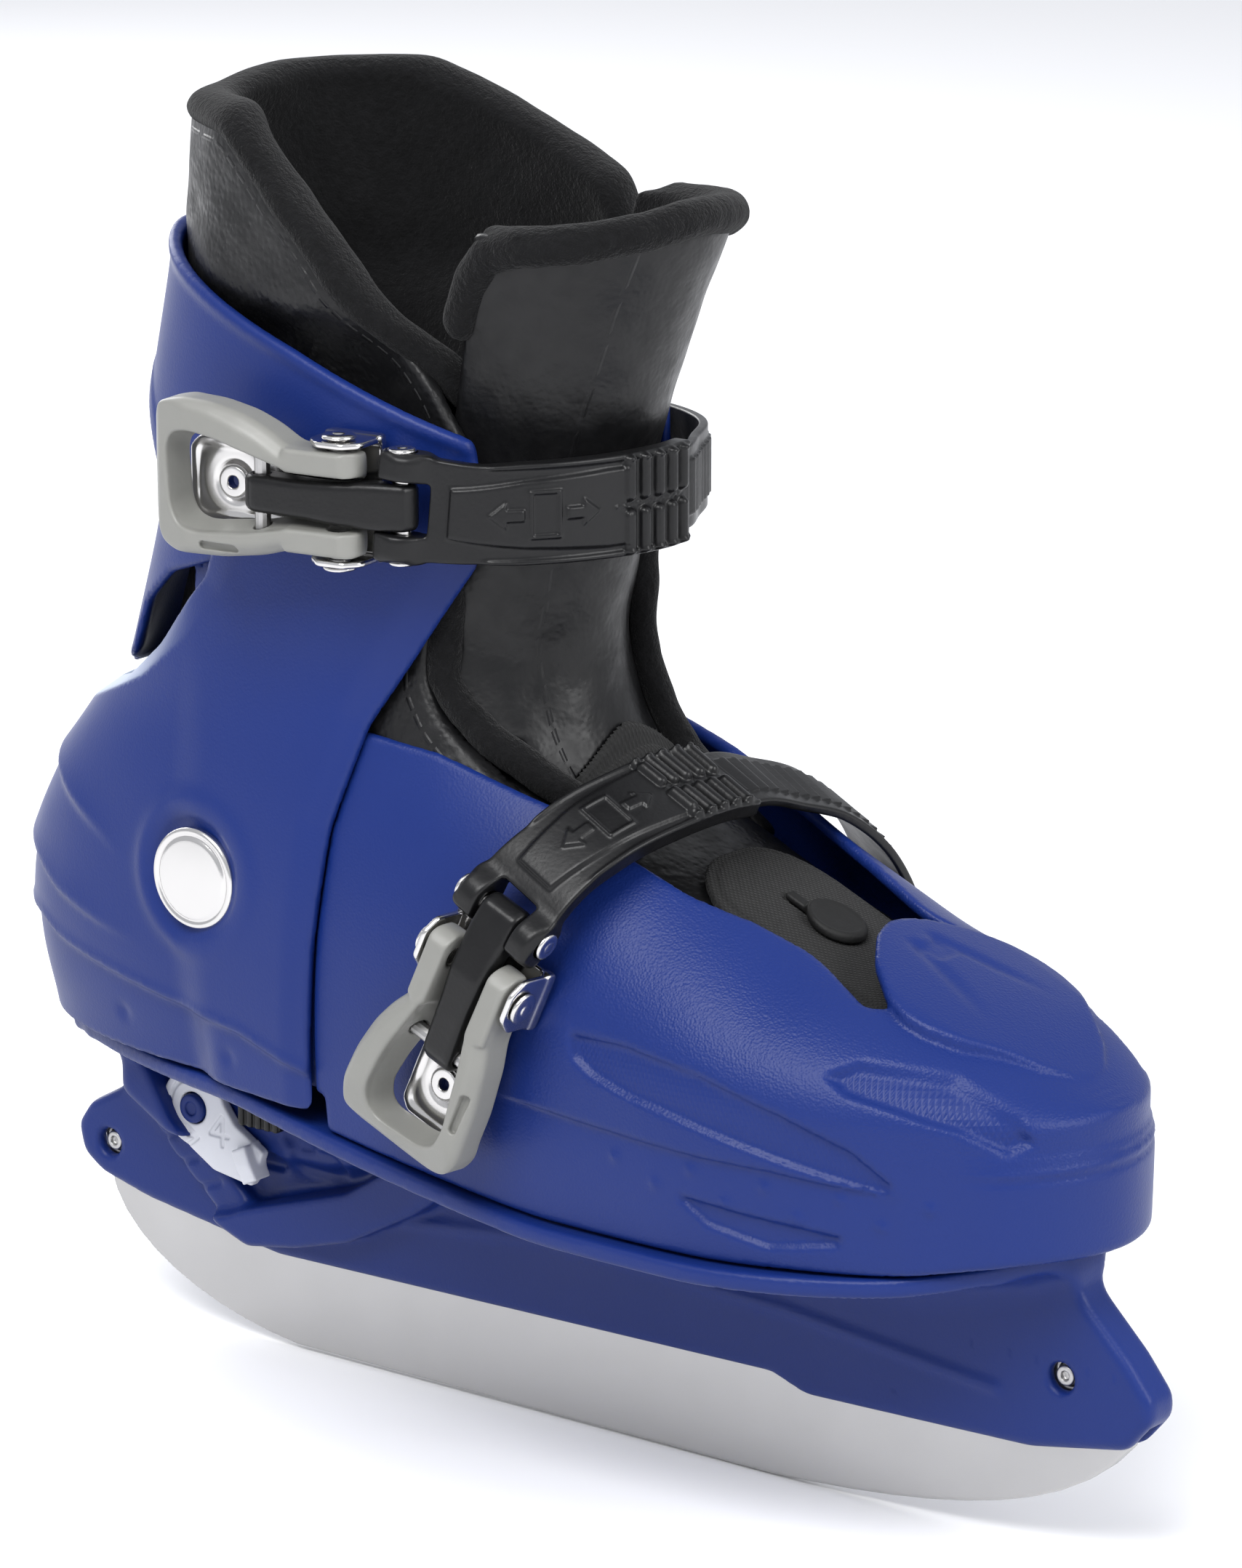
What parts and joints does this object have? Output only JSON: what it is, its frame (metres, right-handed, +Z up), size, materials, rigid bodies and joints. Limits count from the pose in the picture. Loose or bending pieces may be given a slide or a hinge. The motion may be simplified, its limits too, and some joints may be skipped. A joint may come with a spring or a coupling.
{
  "type": "ice skate",
  "caption": "Child's adjustable hard-shell ice skate for the right foot, with a hinged cuff, sliding heel, padded liner and ratchet buckles.",
  "frame": {"origin": "middle of the blade's thickness on the flat stretch of its running edge, below the middle of the skate's length", "axes": "+X towards the toe, +Y towards the inner side of the foot, +Z up; the buckles are on the -Y side"},
  "size_m": [0.2636, 0.1084, 0.258],
  "materials": {
    "blue_plastic": "satin moulded",
    "black_plastic": "satin",
    "grey_plastic": "satin",
    "chrome": "polished",
    "blade_steel": "ground",
    "liner_leather": "grained",
    "fleece": "napped",
    "canvas": "woven",
    "black_rubber": "matt",
    "white_plastic": "satin"
  },
  "bodies": {
    "chassis": {"blade": "blade_steel", "blade_holder": "blue_plastic", "blade_pin_rear": "blade_steel", "blade_pin_front": "blade_steel", "sole_screw_1": "blade_steel", "sole_screw_2": "blade_steel", "sole_screw_3": "blade_steel", "sole_screw_4": "blade_steel", "front_shell": "blue_plastic", "toe_patch": "canvas", "patch_tag": "black_rubber", "size_pin": "blue_plastic", "size_latch": "black_plastic", "lower_buckle_base": "chrome", "lower_base_rivet": "chrome", "lower_lever_rivet_1": "chrome", "lower_lever_rivet_2": "chrome", "lower_ladder_strap": "black_plastic", "lower_strap_rivet": "chrome"},
    "heel": {"heel_shell": "blue_plastic", "ankle_cap_outer": "chrome", "ankle_cap_inner": "chrome", "ankle_pin_outer": "blade_steel", "ankle_pin_inner": "blade_steel", "liner_foot": "liner_leather", "insole": "fleece", "size_rack": "blade_steel"},
    "cuff": {"cuff": "blue_plastic", "liner_cuff": "liner_leather", "tongue": "liner_leather", "tongue_roll": "fleece", "upper_buckle_base": "chrome", "upper_base_rivet": "chrome", "upper_lever_rivet_1": "chrome", "upper_lever_rivet_2": "chrome", "upper_ladder_strap": "black_plastic", "upper_strap_rivet": "chrome"},
    "size_lever": {"size_lever": "white_plastic"},
    "upper_lever": {"upper_lever": "grey_plastic", "upper_link_pin": "chrome"},
    "upper_link": {"upper_link_bar": "black_plastic", "upper_strap_pin": "chrome"},
    "upper_carrier": {"upper_strap_carrier": "black_plastic"},
    "lower_lever": {"lower_lever": "grey_plastic", "lower_link_pin": "chrome"},
    "lower_link": {"lower_link_bar": "black_plastic", "lower_strap_pin": "chrome"},
    "lower_carrier": {"lower_strap_carrier": "black_plastic"}
  },
  "joints": [
    {"name": "size_slide", "type": "slide", "parent": "chassis", "child": "heel", "axis": [1, 0, 0], "range_m": [-0.016, 0]},
    {"name": "cuff_hinge", "type": "hinge", "parent": "heel", "child": "cuff", "pos_m": [-0.0645, 0, 0.1075], "axis": [0, 1, 0], "range_deg": [0, 10]},
    {"name": "size_lever_turn", "type": "hinge", "parent": "chassis", "child": "size_lever", "pos_m": [-0.091, -0.01, 0.049], "axis": [0, 1, 0], "range_deg": [0, 75]},
    {"name": "upper_lever_hinge", "type": "hinge", "parent": "cuff", "child": "upper_lever", "pos_m": [-0.022, -0.0464, 0.188], "axis": [0, 0, 1], "range_deg": [0, 110]},
    {"name": "upper_link_hinge", "type": "hinge", "parent": "upper_lever", "child": "upper_link", "pos_m": [-0.0389, -0.04827, 0.188], "axis": [0, 0, 1], "range_deg": [-110, 0]},
    {"name": "upper_carrier_hinge", "type": "hinge", "parent": "upper_link", "child": "upper_carrier", "pos_m": [-0.01046, -0.04226, 0.188], "axis": [0, 0, 1], "range_deg": [-33, 0]},
    {"name": "lower_lever_hinge", "type": "hinge", "parent": "chassis", "child": "lower_lever", "pos_m": [0.0135, -0.0516, 0.1055], "axis": [-0.9208, 0.0234, 0.3894], "range_deg": [0, 110]},
    {"name": "lower_link_hinge", "type": "hinge", "parent": "lower_lever", "child": "lower_link", "pos_m": [0.00687, -0.05204, 0.08984], "axis": [-0.9208, 0.0234, 0.3894], "range_deg": [-110, 0]},
    {"name": "lower_carrier_hinge", "type": "hinge", "parent": "lower_link", "child": "lower_carrier", "pos_m": [0.01818, -0.04844, 0.11638], "axis": [-0.9208, 0.0234, 0.3894], "range_deg": [-5.5, 0]}
  ],
  "couplings": [
    {"joint": "upper_link_hinge", "follows": "upper_lever_hinge", "ratio": -1},
    {"joint": "upper_carrier_hinge", "follows": "upper_lever_hinge", "ratio": -0.3},
    {"joint": "lower_link_hinge", "follows": "lower_lever_hinge", "ratio": -1},
    {"joint": "lower_carrier_hinge", "follows": "lower_lever_hinge", "ratio": -0.05}
  ]
}
